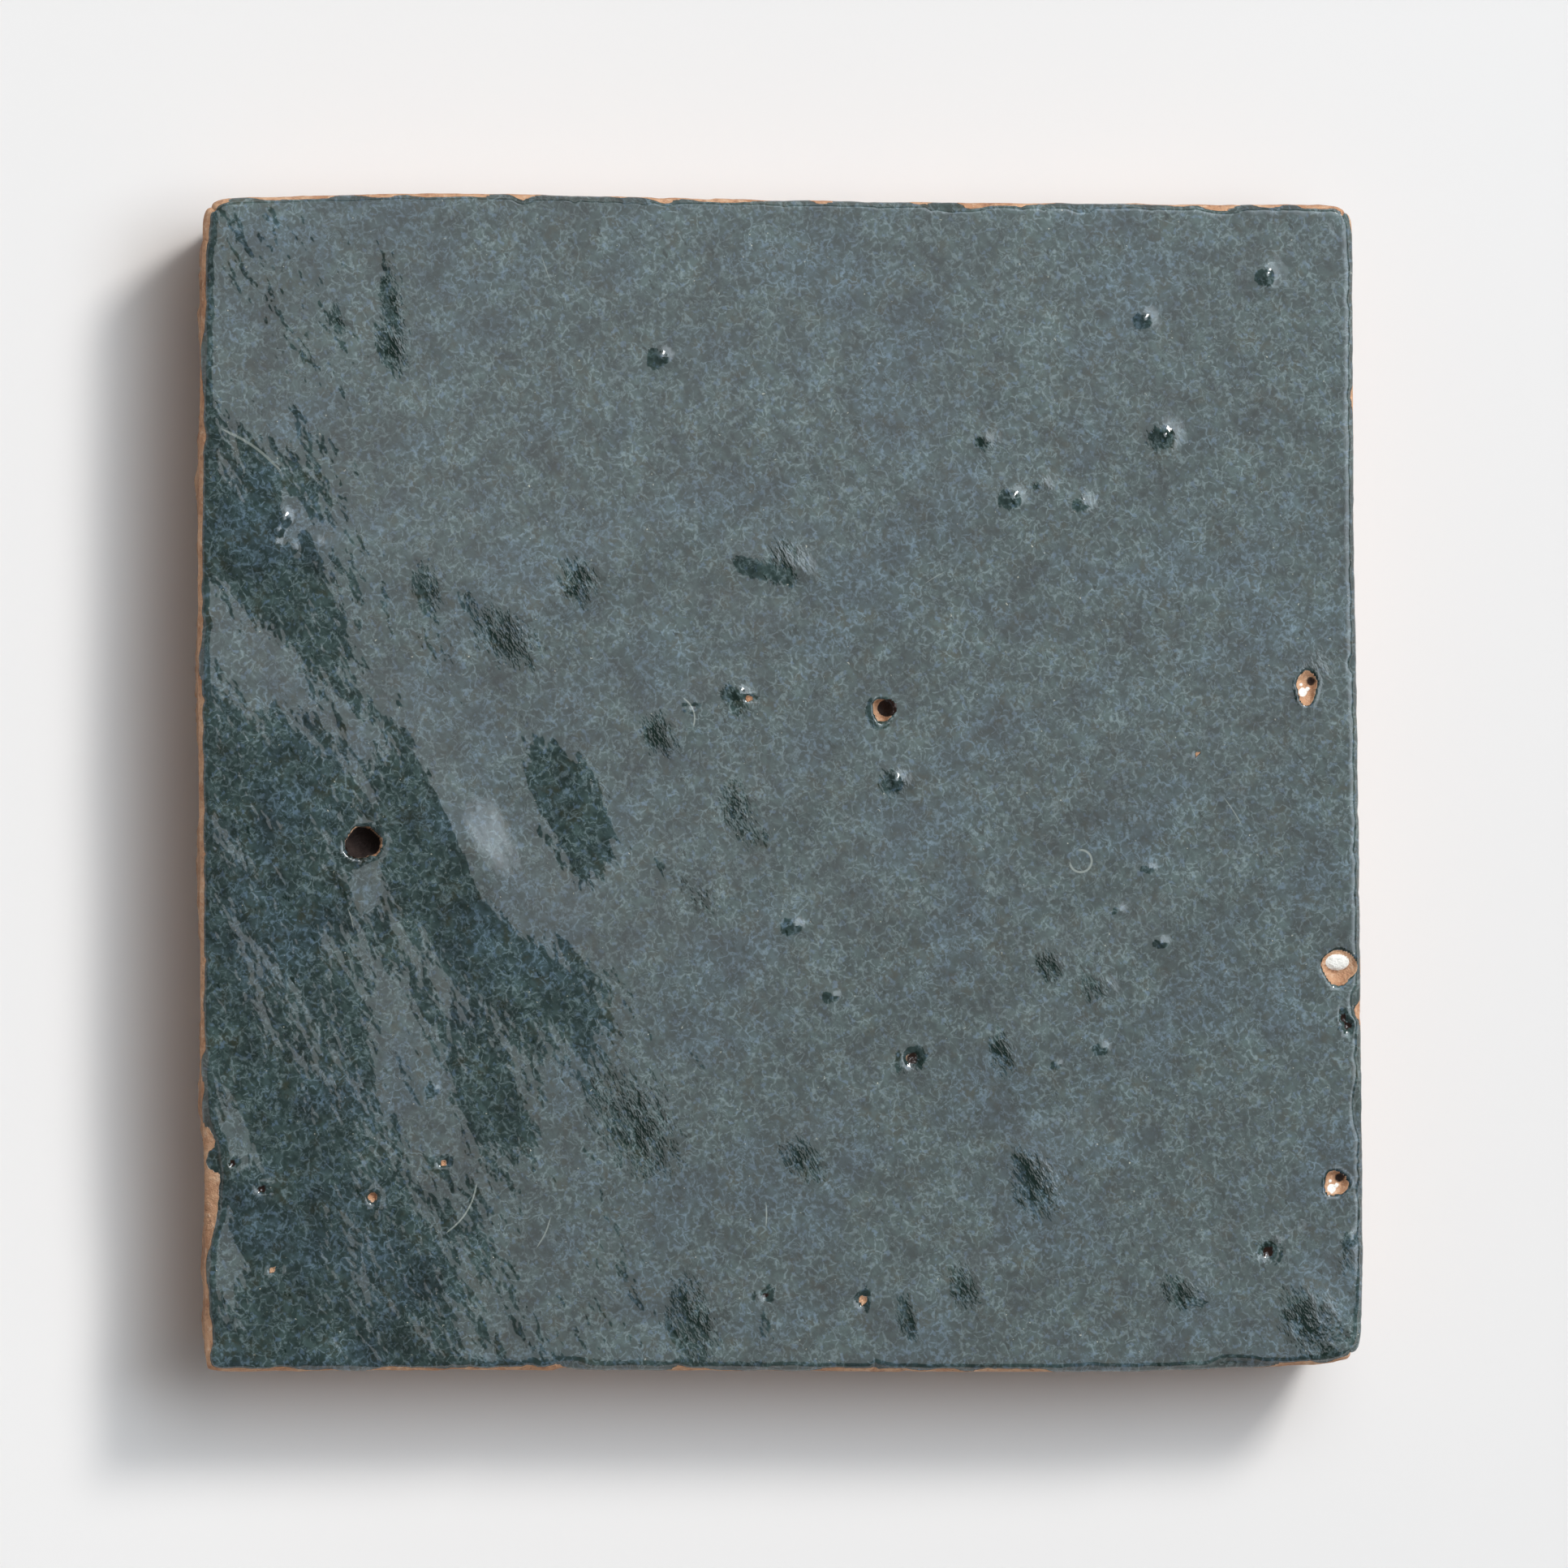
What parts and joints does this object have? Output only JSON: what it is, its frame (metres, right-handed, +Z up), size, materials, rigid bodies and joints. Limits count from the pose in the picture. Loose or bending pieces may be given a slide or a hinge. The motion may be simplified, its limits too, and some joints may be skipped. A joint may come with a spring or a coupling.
{
  "type": "zellige tile",
  "caption": "Square zellige tile, hand-cut terracotta with a dark teal glaze on a waved face, burst bubbles, pits, a chipped left edge and drawn-in sides.",
  "frame": {"origin": "middle of the tile's bounding box, on the flat back that it lies on", "axes": "+Z up through the glazed face; +X and +Y along the two pairs of sides, to the right and to the far side as the face is looked at"},
  "size_m": [0.1004, 0.1008, 0.0123],
  "materials": {
    "glazed_terracotta": "gloss"
  },
  "bodies": {
    "root": {"tile": "glazed_terracotta"}
  },
  "joints": []
}
